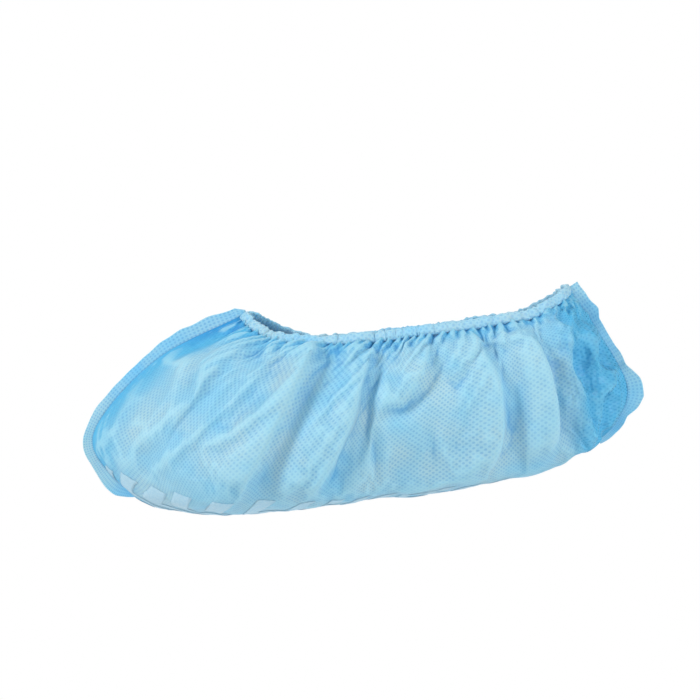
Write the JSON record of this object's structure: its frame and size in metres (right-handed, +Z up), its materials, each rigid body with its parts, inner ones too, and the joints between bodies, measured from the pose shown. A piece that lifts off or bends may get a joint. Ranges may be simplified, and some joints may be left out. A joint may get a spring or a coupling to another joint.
{
  "type": "disposable shoe cover",
  "caption": "Light blue non-woven overshoe in worn form, with gathered elastic hem, welded toe and heel seams and zigzag grip bands under the sole.",
  "frame": {"origin": "inside of the sole, under the middle of the foot that the cover is made for", "axes": "+Z up, +X from toe to heel, near side of the picture at -Y; the sole is level"},
  "size_m": [0.3096, 0.1208, 0.1176],
  "materials": {
    "fabric": "thin spun-bonded non-woven with a point-bond dot grid",
    "casing": "the same fabric, folded over an elastic thread and gathered",
    "weld": "both layers melted together in a dotted weld",
    "print_coat": "matt white grip coating, printed on the fabric"
  },
  "bodies": {
    "root": {"fabric_bag": "fabric", "elastic_hem": "casing", "toe_seam": "weld", "heel_seam": "weld", "grip_band_01": "print_coat", "grip_band_02": "print_coat", "grip_band_03": "print_coat", "grip_band_04": "print_coat", "grip_band_05": "print_coat", "grip_band_06": "print_coat", "grip_band_07": "print_coat", "grip_band_08": "print_coat", "grip_band_09": "print_coat", "grip_band_10": "print_coat", "grip_band_11": "print_coat", "grip_band_12": "print_coat", "grip_band_13": "print_coat", "grip_band_14": "print_coat"}
  },
  "joints": []
}
